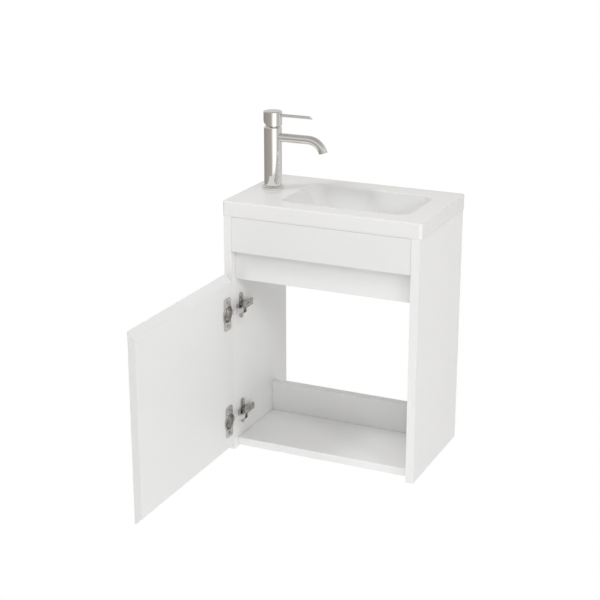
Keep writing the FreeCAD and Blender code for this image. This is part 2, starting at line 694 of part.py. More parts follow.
def waste_body():
    """Flanged threaded body with a plain tail, and a spider that carries the plug guide."""
    thread_low = FLANGE_TOP_Z - WASTE_THREAD_LENGTH
    tail_low = thread_low - WASTE_TAIL_LENGTH
    flange_low = FLANGE_TOP_Z - WASTE_FLANGE_THICKNESS
    profile = (
        (WASTE_TAIL_BORE, tail_low),
        (WASTE_TAIL_RADIUS, tail_low),
        (WASTE_TAIL_RADIUS, thread_low),
        (WASTE_THREAD_RADIUS, thread_low),
        (WASTE_THREAD_RADIUS, flange_low),
        (WASTE_FLANGE_RADIUS, flange_low),
        (WASTE_FLANGE_RADIUS, FLANGE_TOP_Z - WASTE_FLANGE_EDGE),
        (WASTE_FLANGE_RADIUS - WASTE_FLANGE_EDGE, FLANGE_TOP_Z),
        (PLUG_RADIUS - WASTE_FLANGE_THICKNESS, FLANGE_TOP_Z),
        (WASTE_BORE_RADIUS, flange_low),
        (WASTE_BORE_RADIUS, thread_low + WASTE_SHOULDER),
        (WASTE_TAIL_BORE, thread_low + WASTE_SHOULDER),
    )
    shape = turned(profile, WASTE)
    hub_low = FLANGE_TOP_Z - HUB_DROP - HUB_HEIGHT
    hub = rod(HUB_RADIUS, (WASTE_X, WASTE_Y, hub_low), Z_AXIS, HUB_HEIGHT)
    arm = block((0, WASTE_BORE_RADIUS + 1), (-SPOKE_THICKNESS / 2, SPOKE_THICKNESS / 2),
                (hub_low, hub_low + HUB_HEIGHT / 2))
    for step in range(SPOKES):
        spoke = arm.copy()
        spoke.rotate(Vector(0, 0, 0), Z_AXIS, 360 / SPOKES * step)
        spoke.translate(Vector(WASTE_X, WASTE_Y, 0))
        hub = hub.fuse(spoke)
    shape = shape.fuse(hub)
    bore = rod(PLUG_STEM_RADIUS + STEM_PLAY, (WASTE_X, WASTE_Y, hub_low - 1), Z_AXIS, HUB_HEIGHT + 2)
    return shape.cut(bore)


def waste_upper_seal():
    z = BOWL_FLOOR_Z - WASTE_SEAT_DEPTH
    outer = WASTE_FLANGE_RADIUS - WASTE_FLANGE_EDGE
    return tube(outer, WASTE_HOLE_RADIUS, (WASTE_X, WASTE_Y, z), Z_AXIS, SEAL_THICKNESS)


def waste_cone_washer():
    z = FLOOR_UNDER_Z
    inner = WASTE_THREAD_RADIUS + HOLE_PLAY
    profile = (
        (inner, z - CONE_WASHER_HEIGHT),
        (WASTE_NUT_RADIUS - CONE_WASHER_HEIGHT, z - CONE_WASHER_HEIGHT),
        (WASTE_NUT_RADIUS, z),
        (inner, z),
    )
    return turned(profile, WASTE)


def waste_nut():
    top = FLOOR_UNDER_Z - CONE_WASHER_HEIGHT
    low = top - WASTE_NUT_HEIGHT
    bore = rod(WASTE_THREAD_RADIUS + HOLE_PLAY, (WASTE_X, WASTE_Y, low - 1), Z_AXIS, WASTE_NUT_HEIGHT + 2)
    return hexagon(WASTE_NUT_CORNERS, WASTE, (low, top)).cut(bore)


def waste_plug():
    """Domed plug on its stem, closed: the dome sits just above the flange."""
    z = FLANGE_TOP_Z + PLUG_REST_GAP
    profile = [
        (0.0, z - PLUG_STEM_LENGTH),
        (PLUG_STEM_RADIUS, z - PLUG_STEM_LENGTH),
        (PLUG_STEM_RADIUS, z - PLUG_NECK_HEIGHT),
        (PLUG_NECK_RADIUS, z - PLUG_NECK_HEIGHT),
        (PLUG_NECK_RADIUS, z),
    ]
    for share, rise in PLUG_DOME:
        profile.append((PLUG_RADIUS * share, z + PLUG_HEIGHT * rise))
    return turned(profile, WASTE)


# ---- tap: fixed parts ----
TAP = (TAP_X, TAP_Y)


def tap_z(height):
    return DECK_Z + height


def tap_base_ring():
    """Two-step trim ring round the foot of the column."""
    profile = [(TAP_BODY_RADIUS, tap_z(0))]
    for inset, height in TAP_RING_OUTLINE:
        profile.append((TAP_RING_RADIUS - inset, tap_z(height)))
    profile.append((TAP_BODY_RADIUS, tap_z(TAP_RING_HEIGHT)))
    return turned(profile, TAP)


def tap_body():
    """Straight column with a bevelled top, bored for the cartridge, the spout and the inlets."""
    profile = (
        (0.0, tap_z(0)),
        (TAP_BODY_RADIUS, tap_z(0)),
        (TAP_BODY_RADIUS, tap_z(TAP_BODY_TOP - TAP_BODY_BEVEL)),
        (TAP_BODY_RADIUS - TAP_BODY_BEVEL, tap_z(TAP_BODY_TOP)),
        (0.0, tap_z(TAP_BODY_TOP)),
    )
    shape = turned(profile, TAP)
    cutters = [
        rod(CARTRIDGE_RADIUS + HOLE_PLAY, (TAP_X, TAP_Y, tap_z(CARTRIDGE_BOTTOM)), Z_AXIS, TAP_BODY_TOP),
        rod(SPOUT_RADIUS + HOLE_PLAY, (TAP_X + SPOUT_START, TAP_Y, tap_z(SPOUT_AXIS_HEIGHT)), X_AXIS,
            TAP_BODY_RADIUS),
        rod(SPOUT_RADIUS - SPOUT_WALL, (TAP_X, TAP_Y, tap_z(SPOUT_AXIS_HEIGHT)), X_AXIS, TAP_BODY_RADIUS),
        rod(STUD_RADIUS, (TAP_X, TAP_Y + STUD_OFFSET_Y, tap_z(-1)), Z_AXIS, STUD_IN_BODY + 1),
    ]
    for x in inlet_xs():
        cutters.append(rod(INLET_RADIUS, (x, TAP_Y + INLET_OFFSET_Y, tap_z(-1)), Z_AXIS, INLET_LENGTH + 1))
        cutters.append(rod(INLET_RADIUS / 2, (x, TAP_Y + INLET_OFFSET_Y, tap_z(0)), Z_AXIS,
                           CARTRIDGE_BOTTOM + 1))
    return drilled(shape, cutters)


def inlet_xs():
    return (TAP_X - INLET_OFFSET_X, TAP_X + INLET_OFFSET_X)


def spout_sweep(radius):
    """Round bar along the spout's centre line: straight out, then down through one bend."""
    z = tap_z(SPOUT_AXIS_HEIGHT)
    start = Vector(TAP_X + SPOUT_START, TAP_Y, z)
    bend = Vector(TAP_X + SPOUT_STRAIGHT_END, TAP_Y, z)
    straight = Part.makeCylinder(radius, bend.x - start.x, start, X_AXIS)
    ring = Part.Face(Part.Wire(Part.makeCircle(radius, bend, X_AXIS)))
    pivot = bend - Z_AXIS * SPOUT_BEND_RADIUS
    return straight.fuse(ring.revolve(pivot, Y_AXIS, SPOUT_BEND_ANGLE)).removeSplitter()


def spout_point(back):
    """Point on the spout's centre line, a length back from its open end, and the direction of flow."""
    a = math.radians(SPOUT_BEND_ANGLE) - back / SPOUT_BEND_RADIUS
    x = TAP_X + SPOUT_STRAIGHT_END + SPOUT_BEND_RADIUS * math.sin(a)
    z = tap_z(SPOUT_AXIS_HEIGHT) - SPOUT_BEND_RADIUS * (1 - math.cos(a))
    return Vector(x, TAP_Y, z), Vector(math.cos(a), 0, -math.sin(a))


def tap_spout():
    return spout_sweep(SPOUT_RADIUS).cut(spout_sweep(SPOUT_RADIUS - SPOUT_WALL))


def spout_aerator():
    """Perforated insert just inside the open end."""
    middle, out = spout_point(AERATOR_RECESS + AERATOR_HEIGHT / 2)
    radius = SPOUT_RADIUS - SPOUT_WALL - AERATOR_PLAY
    bottom = middle + out * (AERATOR_HEIGHT / 2)
    shape = Part.makeCylinder(radius, AERATOR_HEIGHT, bottom, -out)
    across = Vector(-out.z, 0, out.x)
    start = bottom + out
    holes = [Part.makeCylinder(AERATOR_HOLE_RADIUS, AERATOR_HEIGHT + 2, start, -out)]
    for step in range(AERATOR_HOLES):
        a = math.radians(360 / AERATOR_HOLES * step)
        centre = start + (across * math.cos(a) + Y_AXIS * math.sin(a)) * AERATOR_HOLE_CIRCLE
        holes.append(Part.makeCylinder(AERATOR_HOLE_RADIUS, AERATOR_HEIGHT + 2, centre, -out))
    return drilled(shape, holes)


def tap_cartridge():
    profile = (
        (0.0, tap_z(CARTRIDGE_BOTTOM)),
        (CARTRIDGE_RADIUS, tap_z(CARTRIDGE_BOTTOM)),
        (CARTRIDGE_RADIUS, tap_z(CARTRIDGE_SHOULDER)),
        (CARTRIDGE_NECK_RADIUS, tap_z(CARTRIDGE_SHOULDER)),
        (CARTRIDGE_NECK_RADIUS, tap_z(CARTRIDGE_TOP)),
        (0.0, tap_z(CARTRIDGE_TOP)),
    )
    bore = rod(SPINDLE_RADIUS + HOLE_PLAY, (TAP_X, TAP_Y, tap_z(SPINDLE_BOTTOM)), Z_AXIS, CARTRIDGE_TOP)
    return turned(profile, TAP).cut(bore)


def cartridge_nut():
    low = tap_z(CARTRIDGE_SHOULDER)
    height = CARTRIDGE_NUT_HEIGHT
    return tube(CARTRIDGE_RADIUS, CARTRIDGE_NECK_RADIUS + HOLE_PLAY, (TAP_X, TAP_Y, low), Z_AXIS, height)


def tap_gasket():
    """Rubber ring under the basin deck, above the clamp."""
    low = DECK_Z - BASIN_DECK - RUBBER_THICKNESS
    return clamp_ring(low, RUBBER_THICKNESS)


def clamp_ring(low, thickness):
    """Horseshoe ring: open at the front so that the inlets pass through."""
    shape = tube(CLAMP_RADIUS, CLAMP_INNER_RADIUS, (TAP_X, TAP_Y, low), Z_AXIS, thickness)
    bridge = block((TAP_X - CLAMP_BRIDGE_HALF, TAP_X + CLAMP_BRIDGE_HALF),
                   (TAP_Y + 1, TAP_Y + CLAMP_BRIDGE_LENGTH), (low, low + thickness))
    shape = shape.fuse(bridge)
    mouth = block((TAP_X - CLAMP_MOUTH_HALF, TAP_X + CLAMP_MOUTH_HALF),
                  (TAP_Y - 2 * CLAMP_RADIUS, TAP_Y + 1), (low - 1, low + thickness + 1))
    stud = rod(STUD_RADIUS + CLAMP_STUD_PLAY, (TAP_X, TAP_Y + STUD_OFFSET_Y, low - 1), Z_AXIS,
               thickness + 2)
    return shape.cut(mouth).cut(stud).removeSplitter()


def clamp_plate():
    return clamp_ring(DECK_Z - BASIN_DECK - RUBBER_THICKNESS - CLAMP_THICKNESS, CLAMP_THICKNESS)


def clamp_stud():
    z = tap_z(STUD_IN_BODY) - STUD_LENGTH
    return rod(STUD_RADIUS, (TAP_X, TAP_Y + STUD_OFFSET_Y, z), Z_AXIS, STUD_LENGTH)


def clamp_nut():
    top = DECK_Z - BASIN_DECK - RUBBER_THICKNESS - CLAMP_THICKNESS
    centre = (TAP_X, TAP_Y + STUD_OFFSET_Y)
    shape = hexagon(CLAMP_NUT_RADIUS, centre, (top - CLAMP_NUT_HEIGHT, top))
    bore = rod(STUD_RADIUS, (centre[0], centre[1], top - CLAMP_NUT_HEIGHT - 1), Z_AXIS,
               CLAMP_NUT_HEIGHT + 2)
    return shape.cut(bore)


# ---- tap: handle ----
def cap_pin_rod(radius, reach):
    """Bar along the handle's pivot, as far as reach on each side of the tap's axis."""
    return rod(radius, (TAP_X, TAP_Y - reach, tap_z(CAP_PIVOT_HEIGHT)), Y_AXIS, 2 * reach)


def cartridge_spindle():
    """Round stem in the cartridge with a square head above it."""
    stem = rod(SPINDLE_RADIUS, (TAP_X, TAP_Y, tap_z(SPINDLE_BOTTOM)), Z_AXIS, SPINDLE_NECK - SPINDLE_BOTTOM)
    half = SPINDLE_HALF_WIDTH
    head = block((TAP_X - half, TAP_X + half), (TAP_Y - half, TAP_Y + half),
                 (tap_z(SPINDLE_NECK), tap_z(SPINDLE_TOP)))
    hole = cap_pin_rod(CAP_PIN_RADIUS, SPINDLE_RADIUS + 1)
    return stem.fuse(head).cut(hole)


def handle_pin():
    return cap_pin_rod(CAP_PIN_RADIUS, CHEEK_OUTER)


def handle_cap():
    """Hollow cap with two inner cheeks on the pivot pin; cut away behind to let it tip back."""
    profile = (
        (0.0, tap_z(CAP_CAVITY_TOP)),
        (CAP_CAVITY_RADIUS, tap_z(CAP_CAVITY_TOP)),
        (CAP_CAVITY_RADIUS, tap_z(CAP_BOTTOM)),
        (CAP_RADIUS, tap_z(CAP_BOTTOM)),
        (CAP_RADIUS, tap_z(CAP_TOP - CAP_ROUND)),
        (CAP_RADIUS - CAP_EDGE_SHARE * CAP_ROUND, tap_z(CAP_TOP - CAP_EDGE_SHARE * CAP_ROUND)),
        (CAP_RADIUS - CAP_ROUND, tap_z(CAP_TOP)),
        (0.0, tap_z(CAP_TOP)),
    )
    shape = turned(profile, TAP)
    for side in (-1, 1):
        y = sorted((TAP_Y + side * CHEEK_INNER, TAP_Y + side * CHEEK_OUTER))
        cheek = block((TAP_X - CHEEK_HALF_WIDTH, TAP_X + CHEEK_HALF_WIDTH), y,
                      (tap_z(CAP_BOTTOM + CHEEK_RISE), tap_z(CAP_CAVITY_TOP + 1)))
        shape = shape.fuse(cheek)
    side_y = TAP_Y - 2 * CAP_RADIUS
    rear = [
        Vector(TAP_X - CAP_CUT_START, side_y, tap_z(CAP_BOTTOM - 1)),
        Vector(TAP_X - CAP_CUT_START, side_y, tap_z(CAP_BOTTOM)),
        Vector(TAP_X - CAP_RADIUS - 1, side_y, tap_z(CAP_BOTTOM + CAP_CUT_HEIGHT)),
        Vector(TAP_X - CAP_RADIUS - 1, side_y, tap_z(CAP_BOTTOM - 1)),
    ]
    wedge = Part.Face(Part.makePolygon(rear + rear[:1])).extrude(Vector(0, 4 * CAP_RADIUS, 0))
    pin_hole = cap_pin_rod(CAP_PIN_RADIUS + HOLE_PLAY, CAP_CAVITY_RADIUS)
    lever_hole = rod(LEVER_RADIUS, (TAP_X + LEVER_START, TAP_Y, tap_z(LEVER_HEIGHT)), X_AXIS, CAP_RADIUS)
    return drilled(shape, [wedge, pin_hole, lever_hole, grub_screw()]).removeSplitter()


def lever_rod():
    """Straight round rod with a slanted tip."""
    length = LEVER_END - LEVER_START
    shape = rod(LEVER_RADIUS, (TAP_X + LEVER_START, TAP_Y, tap_z(LEVER_HEIGHT)), X_AXIS, length)
    z = tap_z(LEVER_HEIGHT)
    x = TAP_X + LEVER_END
    side_y = TAP_Y - 2 * LEVER_RADIUS
    tip = [
        Vector(x, side_y, z - LEVER_RADIUS),
        Vector(x + LEVER_RADIUS, side_y, z - LEVER_RADIUS),
        Vector(x + LEVER_RADIUS, side_y, z + LEVER_RADIUS + 1),
        Vector(x - LEVER_TIP_SLOPE, side_y, z + LEVER_RADIUS + 1),
    ]
    shape = shape.cut(Part.Face(Part.makePolygon(tip + tip[:1])).extrude(Vector(0, 4 * LEVER_RADIUS, 0)))
    return shape.cut(grub_screw())


def grub_screw():
    """Set screw that bites the lever rod from inside the cap."""
    low = tap_z(CAP_CAVITY_TOP)
    length = LEVER_HEIGHT - LEVER_RADIUS - CAP_CAVITY_TOP + GRUB_BITE
    return rod(GRUB_RADIUS, (TAP_X + GRUB_X, TAP_Y, low), Z_AXIS, length)


# ---- write every node ----
def at_hinges(maker):
    return group([maker(z) for z in HINGE_HEIGHTS])


NODES = {
    "left_side_panel": side_panel(-1),
    "right_side_panel": side_panel(1),
    "bottom_shelf": bottom_shelf(),
    "lower_back_rail": lower_back_rail(),
    "upper_hanging_rail": hanging_rail(),
    "front_fascia": front_fascia(),
    "recess_rail": recess_rail(),
    "carcass_dowels": group(dowels()),
    "cam_lock_drums": group(cam_lock_drums()),
    "cam_lock_bolts": group(cam_bolts()),
    "fascia_screws": group(fascia_screws()),
    "basin": basin(),
    "waste_body": waste_body(),
    "waste_upper_seal": waste_upper_seal(),
    "waste_cone_washer": waste_cone_washer(),
    "waste_nut": waste_nut(),
    "waste_plug": waste_plug(),
    "tap_base_ring": tap_base_ring(),
    "tap_body": tap_body(),
    "tap_spout": tap_spout(),
    "spout_aerator": spout_aerator(),
    "tap_cartridge": tap_cartridge(),
    "cartridge_nut": cartridge_nut(),
    "tap_clamp_gasket": tap_gasket(),
    "tap_clamp_plate": clamp_plate(),
    "tap_clamp_stud": clamp_stud(),
    "tap_clamp_nut": clamp_nut(),
    "cartridge_spindle": cartridge_spindle(),
    "handle_pivot_pin": handle_pin(),
    "handle_cap": handle_cap(),
    "lever_rod": lever_rod(),
    "handle_grub_screw": grub_screw(),
    "door_panel": door_panel(),
    "hinge_cups": at_hinges(hinge_cup),
    "hinge_cup_screws": group(cup_screws()),
    "hinge_mounting_plates": at_hinges(mounting_plate),
    "hinge_plate_screws": group(plate_screws()),
    "hinge_arms": at_hinges(hinge_arm),
    "hinge_arm_screws": group(arm_screws()),
    "hinge_pins": at_hinges(hinge_pin),
    "hinge_links": at_hinges(hinge_link),
}

os.makedirs("parts", exist_ok=True)
for node_name, node_shape in NODES.items():
    save(node_name, node_shape)
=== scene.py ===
import math

import bmesh
import bpy
from mathutils import Matrix, Vector


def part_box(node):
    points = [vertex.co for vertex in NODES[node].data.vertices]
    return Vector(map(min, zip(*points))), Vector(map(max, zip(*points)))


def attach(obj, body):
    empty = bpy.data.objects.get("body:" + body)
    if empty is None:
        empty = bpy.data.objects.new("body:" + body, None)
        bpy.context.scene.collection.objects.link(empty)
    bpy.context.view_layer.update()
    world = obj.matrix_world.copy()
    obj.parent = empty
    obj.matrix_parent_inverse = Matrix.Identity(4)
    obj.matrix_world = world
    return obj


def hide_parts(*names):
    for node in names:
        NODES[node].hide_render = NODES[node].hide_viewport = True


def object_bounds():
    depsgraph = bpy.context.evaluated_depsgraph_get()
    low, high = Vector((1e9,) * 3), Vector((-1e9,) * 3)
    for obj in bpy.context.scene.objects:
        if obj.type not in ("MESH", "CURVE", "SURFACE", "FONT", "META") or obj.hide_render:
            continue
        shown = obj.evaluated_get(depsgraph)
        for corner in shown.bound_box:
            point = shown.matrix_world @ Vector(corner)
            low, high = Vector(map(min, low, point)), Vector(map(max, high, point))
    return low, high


# Looks of the wall-hung vanity unit: a material for every CAD node, detailed screws in place of
# the plain CAD ones, soft studio light and the camera.
# Metres, in the CAD's frame: +Z up, +Y into the wall, +X to the right.

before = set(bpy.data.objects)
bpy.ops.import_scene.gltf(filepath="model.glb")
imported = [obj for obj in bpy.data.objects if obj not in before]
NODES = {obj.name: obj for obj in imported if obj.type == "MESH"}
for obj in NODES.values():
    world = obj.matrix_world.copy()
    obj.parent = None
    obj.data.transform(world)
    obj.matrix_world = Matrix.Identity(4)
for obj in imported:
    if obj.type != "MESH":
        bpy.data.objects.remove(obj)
CAD_LOW, CAD_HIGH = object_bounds()
CENTRE = (CAD_LOW + CAD_HIGH) / 2
MM = 0.001
X, Y, Z = range(3)

# ---- camera: angles in degrees; the target is given from the middle of the whole box ----
VIEW_AZIMUTH = 24.637
VIEW_ELEVATION = 18.488
VIEW_DISTANCE = 2.8732
VIEW_OFFSET = Vector((-0.1014, 0.19825, -0.0472))
LENS_MM = 85.31
SENSOR_MM = 36.0
CLIP_END = 40.0

# ---- mesh finish ----
WELD_DISTANCE = 2e-6
SMOOTH_ANGLE = math.radians(32)

# ---- surface detail shared by several materials ----
NOISE_LOW, NOISE_HIGH = 0.3, 0.7            # range that most of a noise texture lies in
BEVEL_SAMPLES, HOLLOW_SAMPLES = 4, 8
EDGE_START, EDGE_FULL = 0.02, 0.35          # 1 - cosine between the rounded and the true normal
HOLLOW_START, HOLLOW_FULL = 0.85, 0.15      # open share of the sky close to the surface
# reach of the painted shade in inside corners and narrow gaps, and how dark it gets there
BOARD_HOLLOW = (5 * MM, 0.30)
METAL_HOLLOW = (3.5 * MM, 0.85)
CHROME_HOLLOW = (1.8 * MM, 0.85)
# tints of the finish's own tone for that painted shade
BOARD_SHADE_TINT = (0.50, 0.48, 0.45)
METAL_SHADE_TINT = (0.22, 0.21, 0.20)
# thin dark lines: half width, end of the fade, darkness, tint
BAND_LINE = (0.08 * MM, 0.22 * MM, 0.35, (0.62, 0.60, 0.57))
JOINT_LINE = (0.55 * MM, 1.1 * MM, 0.55, (0.55, 0.54, 0.52))
BAND = 0.8 * MM                             # thickness of the edge band on the boards


def rgb(red, green=None, blue=None):
    if green is None:
        green = blue = red
    return (red, green, blue, 1.0)


def tinted(light, tint):
    return rgb(*(light * channel for channel in tint))


# ================================================================ node helpers
class Graph:
    """Shorthand for adding and joining nodes in one tree."""

    def __init__(self, tree):
        self.tree = tree
        self.tree.nodes.clear()

    def add(self, kind, **settings):
        node = self.tree.nodes.new(kind)
        for key, value in settings.items():
            setattr(node, key, value)
        return node

    def link(self, a, b):
        self.tree.links.new(a, b)

    def put(self, socket, value):
        """A number or colour set on the socket, or another node's output linked to it."""
        if isinstance(value, bpy.types.NodeSocket):
            self.link(value, socket)
        else:
            socket.default_value = value

    def math(self, operation, a, b=0.0):
        node = self.add("ShaderNodeMath", operation=operation)
        self.put(node.inputs[0], a)
        self.put(node.inputs[1], b)
        return node.outputs[0]

    def spread(self, value, low, high, to_low=0.0, to_high=1.0):
        """The range low..high of value stretched to to_low..to_high and held at both ends."""
        node = self.add("ShaderNodeMapRange")
        node.inputs["From Min"].default_value = low
        node.inputs["From Max"].default_value = high
        node.inputs["To Min"].default_value = to_low
        node.inputs["To Max"].default_value = to_high
        self.link(value, node.inputs["Value"])
        return node.outputs["Result"]

    def blend(self, amount, a, b):
        """Colour a where amount is 0 and b where it is 1."""
        node = self.add("ShaderNodeMix", data_type="RGBA")
        self.put(node.inputs["Factor"], amount)
        self.put(node.inputs[6], a)
        self.put(node.inputs[7], b)
        return node.outputs[2]

    def ramp(self, value, stops):
        """Colour by value; stops are (position, brightness, tint), first at 0 and last at 1."""
        node = self.add("ShaderNodeValToRGB")
        elements = node.color_ramp.elements
        elements[0].color, elements[-1].color = tinted(*stops[0][1:]), tinted(*stops[-1][1:])
        for position, light, tint in stops[1:-1]:
            elements.new(position).color = tinted(light, tint)
        self.link(value, node.inputs["Fac"])
        return node.outputs["Color"]

    def mix(self, amount, a, b):
        """Shader a where amount is 0 and b where it is 1."""
        node = self.add("ShaderNodeMixShader")
        for socket, source in zip(node.inputs, (amount, a, b)):
            self.link(source, socket)
        return node.outputs[0]

    def ray(self, kind):
        return self.add("ShaderNodeLightPath").outputs[kind]


class Nodes(Graph):
    """Builder for one material: a Principled shader and textures in the object's own space.
    The scales of noise and cells are how many fit in a metre."""

    def __init__(self, name):
        self.material = bpy.data.materials.new(name)
        self.material.use_nodes = True
        super().__init__(self.material.node_tree)
        self.output = self.add("ShaderNodeOutputMaterial")
        self.shader = self.add("ShaderNodeBsdfPrincipled")
        self.link(self.shader.outputs["BSDF"], self.output.inputs["Surface"])
        self.coords = self.add("ShaderNodeTexCoord").outputs["Object"]

    def stretched(self, scale):
        node = self.add("ShaderNodeMapping")
        node.inputs["Scale"].default_value = scale
        self.link(self.coords, node.inputs["Vector"])
        return node.outputs["Vector"]

    def noise(self, scale, detail=3.0, rough=0.5, vector=None, distortion=0.0):
        node = self.add("ShaderNodeTexNoise")
        node.inputs["Scale"].default_value = scale
        node.inputs["Detail"].default_value = detail
        node.inputs["Roughness"].default_value = rough
        node.inputs["Distortion"].default_value = distortion
        self.link(vector or self.coords, node.inputs["Vector"])
        return node.outputs["Fac"]

    def varied(self, low, high, **noise):
        """A value that drifts between low and high over the surface."""
        return self.spread(self.noise(**noise), NOISE_LOW, NOISE_HIGH, low, high)

    def cells(self, scale):
        node = self.add("ShaderNodeTexVoronoi", feature="F1")
        node.inputs["Scale"].default_value = scale
        self.link(self.coords, node.inputs["Vector"])
        return node.outputs["Distance"]

    def edge(self, radius):
        """1 on the edges of the shape, 0 on its faces."""
        bevel = self.add("ShaderNodeBevel", samples=BEVEL_SAMPLES)
        bevel.inputs["Radius"].default_value = radius
        geometry = self.add("ShaderNodeNewGeometry")
        dot = self.add("ShaderNodeVectorMath", operation="DOT_PRODUCT")
        self.link(bevel.outputs["Normal"], dot.inputs[0])
        self.link(geometry.outputs["Normal"], dot.inputs[1])
        turned = self.math("SUBTRACT", 1.0, dot.outputs["Value"])
        return self.spread(turned, EDGE_START, EDGE_FULL)

    def worn(self, radius, scale, full):
        """Wear in patches along the edges; full is the noise value where it is complete."""
        patches = self.spread(self.noise(scale, detail=4.0, rough=0.7), 0.45, full)
        return self.math("MULTIPLY", self.edge(radius), patches)

    def crevice(self, distance, most):
        """Mask of the painted shade: most in narrow gaps and inside corners, 0 on open faces."""
        hollow = self.add("ShaderNodeAmbientOcclusion", samples=HOLLOW_SAMPLES)
        hollow.inputs["Distance"].default_value = distance
        return self.spread(hollow.outputs["AO"], HOLLOW_FULL, HOLLOW_START, most, 0.0)

    def painted_corner_shade(self, color, tone):
        """Painted shade: board colour darkened a little in inside corners."""
        return self.blend(self.crevice(*BOARD_HOLLOW), color, tinted(tone, BOARD_SHADE_TINT))

    def lines(self, color, tone, places, line):
        """Thin dark lines across the surface at (axis, position) places."""
        half_width, fade, darkness, tint = line
        if places:
            split = self.add("ShaderNodeSeparateXYZ")
            self.link(self.coords, split.inputs[0])
        for axis, place in places:
            away = self.math("ABSOLUTE", self.math("SUBTRACT", split.outputs[axis], place))
            shade = self.spread(away, half_width, fade, darkness, 0.0)
            color = self.blend(shade, color, tinted(tone, tint))
        return color

    def bump(self, height, depth, strength, normal=None):
        node = self.add("ShaderNodeBump")
        node.inputs["Strength"].default_value = strength
        node.inputs["Distance"].default_value = depth
        self.link(height, node.inputs["Height"])
        if normal is not None:
            self.link(normal, node.inputs["Normal"])
        return node.outputs["Normal"]

    def surface(self, color, roughness, normal, **values):
        self.put(self.shader.inputs["Base Color"], color)
        self.put(self.shader.inputs["Roughness"], roughness)
        self.link(normal, self.shader.inputs["Normal"])
        for key, value in values.items():
            self.shader.inputs[key.replace("_", " ")].default_value = value
        return self.material


# ================================================================ materials
def white_board(name, tone, seams):
    """Satin foil on board: faint mottle, fine grain, worn edges and a hair-line where each edge
    band ends. seams are (axis, position in metres) of those lines."""
    n = Nodes(name)
    mottle = n.varied(0.0, 1.0, scale=5.0, detail=4.0, rough=0.6)
    color = n.blend(mottle, tinted(tone, (0.985, 0.984, 0.978)), tinted(tone, (1.0, 1.0, 0.994)))
    speck = n.spread(n.noise(scale=900.0, detail=2.0), 0.62, 0.78, 0.0, 0.10)
    color = n.blend(speck, color, rgb(tone * 0.90))
    color = n.lines(color, tone, seams, BAND_LINE)
    # painted shade: colour darkened a little in inside corners and narrow gaps
    color = n.painted_corner_shade(color, tone)
    rub = n.worn(radius=1.2 * MM, scale=60.0, full=0.70)
    color = n.blend(n.math("MULTIPLY", rub, 0.25), color, tinted(tone, (0.86, 0.84, 0.80)))
    rough = n.varied(0.34, 0.46, scale=18.0, detail=5.0, rough=0.65)
    rough = n.math("ADD", rough, n.math("MULTIPLY", rub, 0.12))
    grain = n.bump(n.noise(scale=1400.0, detail=2.0), depth=0.04 * MM, strength=0.35)
    wave = n.bump(n.noise(scale=70.0, detail=2.0), depth=0.20 * MM, strength=0.30, normal=grain)
    return n.surface(color, rough, wave, Specular_IOR_Level=0.5, IOR=1.46)


def painted_board(name, tone, joints=()):
    """Sprayed satin paint: orange peel, slight cloudiness and softened edges.
    joints are (axis, position in metres) of the ends that butt against another board."""
    n = Nodes(name)
    cloud = n.varied(0.0, 1.0, scale=7.0, rough=0.55)
    color = n.blend(cloud, tinted(tone, (0.988, 0.988, 0.982)), rgb(tone))
    # painted shade: colour darkened a little in inside corners and narrow gaps
    color = n.painted_corner_shade(color, tone)
    color = n.lines(color, tone, joints, JOINT_LINE)
    rub = n.worn(radius=1.5 * MM, scale=45.0, full=0.72)
    color = n.blend(n.math("MULTIPLY", rub, 0.22), color, tinted(tone, (0.87, 0.85, 0.82)))
    rough = n.varied(0.30, 0.40, scale=14.0, detail=4.0, rough=0.6)
    rough = n.math("ADD", rough, n.math("MULTIPLY", rub, 0.10))
    peel = n.bump(n.noise(scale=420.0, rough=0.55), depth=0.08 * MM, strength=0.35)
    wave = n.bump(n.noise(scale=38.0, detail=2.0), depth=0.30 * MM, strength=0.30, normal=peel)
    return n.surface(color, rough, wave, Specular_IOR_Level=0.5, IOR=1.48)


def glazed(name, tone):
    """Gloss basin glaze: almost flat colour, pinholes, slow waves and fine water marks."""
    n = Nodes(name)
    drift = n.varied(0.0, 1.0, scale=3.0)
    color = n.blend(drift, tinted(tone, (0.985, 0.982, 0.972)), tinted(tone, (1.0, 1.0, 0.994)))
    pins = n.spread(n.cells(scale=260.0), 0.0, 0.035, 0.30, 0.0)
    pins = n.math("MULTIPLY", pins, n.spread(n.noise(scale=40.0), 0.6, 0.7))
    color = n.blend(pins, color, rgb(tone * 0.8))
    marks = n.noise(scale=26.0, detail=6.0, rough=0.7, distortion=1.5)
    rough = n.spread(marks, 0.5, 0.75, 0.05, 0.12)
    wave = n.bump(n.noise(scale=24.0, detail=1.0), depth=0.50 * MM, strength=0.22)
    peel = n.bump(n.noise(scale=190.0, detail=2.0), depth=0.05 * MM, strength=0.30, normal=wave)
    return n.surface(color, rough, peel, IOR=1.52, Coat_Weight=0.8, Coat_Roughness=0.04,
                     Coat_IOR=1.5)


